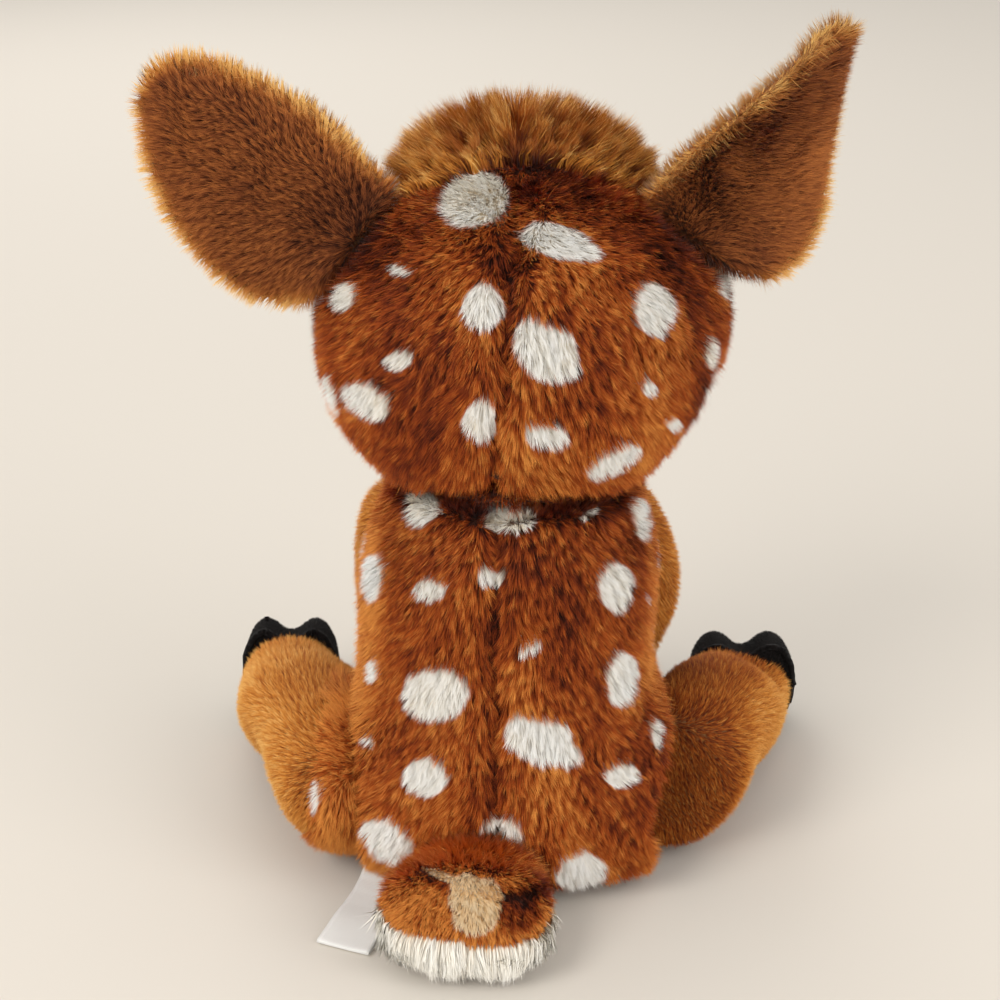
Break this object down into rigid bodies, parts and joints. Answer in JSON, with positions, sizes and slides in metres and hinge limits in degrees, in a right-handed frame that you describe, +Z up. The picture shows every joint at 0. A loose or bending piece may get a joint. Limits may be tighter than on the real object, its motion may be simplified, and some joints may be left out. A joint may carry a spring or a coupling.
{
  "type": "plush fawn",
  "caption": "Seated stuffed fawn with spotted long-pile coat, upright ears, crown tuft, cloven hooves and a broad tail; head, ears, legs and tail move.",
  "frame": {"origin": "on the floor under the middle of the whole toy's box", "axes": "+Z up, the face looks along -Y, +X is the toy's own left side"},
  "size_m": [0.2138, 0.1712, 0.2706],
  "materials": {
    "spotted_plush": "long reddish-brown pile with cream spots",
    "golden_plush": "short golden-brown pile",
    "cream_plush": "cream pile",
    "tuft_plush": "long olive-brown pile",
    "black_velour": "short black velour",
    "fibre": "white polyester fibre filling",
    "cotton": "plain woven bag",
    "satin": "white satin ribbon",
    "thread": "twisted thread",
    "eye_plastic": "dark brown, polished",
    "washer_plastic": "white, moulded"
  },
  "bodies": {
    "torso": {"back_left_panel": "spotted_plush", "back_right_panel": "spotted_plush", "belly_panel": "cream_plush", "base_panel": "golden_plush", "pellet_bag": "cotton", "torso_stuffing": "fibre", "sewn_label": "satin"},
    "neck": {"neck_stuffing": "fibre"},
    "head": {"head_back_left_panel": "spotted_plush", "head_back_right_panel": "spotted_plush", "face_left_panel": "spotted_plush", "face_right_panel": "spotted_plush", "eye_left": "eye_plastic", "eye_right": "eye_plastic", "eye_washer_left": "washer_plastic", "eye_washer_right": "washer_plastic", "muzzle_panel": "cream_plush", "nose": "black_velour", "mouth_stitch": "thread", "crown_tuft": "tuft_plush", "head_stuffing": "fibre"},
    "ear_left": {"ear_back_left": "spotted_plush", "ear_lining_left": "cream_plush"},
    "ear_right": {"ear_back_right": "spotted_plush", "ear_lining_right": "cream_plush"},
    "front_leg_left": {"front_leg_left_sleeve": "golden_plush", "front_leg_left_stuffing": "fibre", "front_hoof_left": "black_velour"},
    "front_leg_right": {"front_leg_right_sleeve": "golden_plush", "front_leg_right_stuffing": "fibre", "front_hoof_right": "black_velour"},
    "hind_leg_left": {"hind_leg_left_sleeve": "golden_plush", "hind_leg_left_stuffing": "fibre", "hind_hoof_left": "black_velour"},
    "hind_leg_right": {"hind_leg_right_sleeve": "golden_plush", "hind_leg_right_stuffing": "fibre", "hind_hoof_right": "black_velour"},
    "tail": {"tail_top_panel": "spotted_plush", "tail_underside_panel": "cream_plush", "tail_stuffing": "fibre"}
  },
  "joints": [
    {"name": "head_turn", "type": "hinge", "parent": "torso", "child": "neck", "pos_m": [-0.00268, 0.00135, 0.105], "axis": [0, 0, 1], "range_deg": [-35, 35], "stiffness_Nm_per_rad": 0.3},
    {"name": "head_nod", "type": "hinge", "parent": "neck", "child": "head", "pos_m": [-0.00268, 0.00135, 0.105], "axis": [1, 0, 0], "range_deg": [-12, 15], "stiffness_Nm_per_rad": 0.5},
    {"name": "ear_left_fold", "type": "hinge", "parent": "head", "child": "ear_left", "pos_m": [0.04532, 0.00035, 0.2065], "axis": [0.6595, 0, -0.7517], "range_deg": [-15, 25], "stiffness_Nm_per_rad": 0.15},
    {"name": "ear_right_fold", "type": "hinge", "parent": "head", "child": "ear_right", "pos_m": [-0.05868, 0.00035, 0.206], "axis": [0.8539, 0, 0.5204], "range_deg": [-15, 25], "stiffness_Nm_per_rad": 0.15},
    {"name": "front_leg_left_swing", "type": "hinge", "parent": "torso", "child": "front_leg_left", "pos_m": [0.03332, -0.02465, 0.104], "axis": [-1, 0, 0], "range_deg": [0, 60], "stiffness_Nm_per_rad": 0.06},
    {"name": "front_leg_right_swing", "type": "hinge", "parent": "torso", "child": "front_leg_right", "pos_m": [-0.03668, -0.02465, 0.104], "axis": [-1, 0, 0], "range_deg": [0, 60], "stiffness_Nm_per_rad": 0.06},
    {"name": "hind_leg_left_lift", "type": "hinge", "parent": "torso", "child": "hind_leg_left", "pos_m": [0.05432, 0.00935, 0.0275], "axis": [-1, 0, 0], "range_deg": [0, 30], "stiffness_Nm_per_rad": 0.15},
    {"name": "hind_leg_right_lift", "type": "hinge", "parent": "torso", "child": "hind_leg_right", "pos_m": [-0.05668, 0.01235, 0.0275], "axis": [-1, 0, 0], "range_deg": [0, 30], "stiffness_Nm_per_rad": 0.15},
    {"name": "tail_lift", "type": "hinge", "parent": "torso", "child": "tail", "pos_m": [0.00932, 0.05135, 0.018], "axis": [1, 0, 0], "range_deg": [0, 22], "stiffness_Nm_per_rad": 0.06}
  ]
}
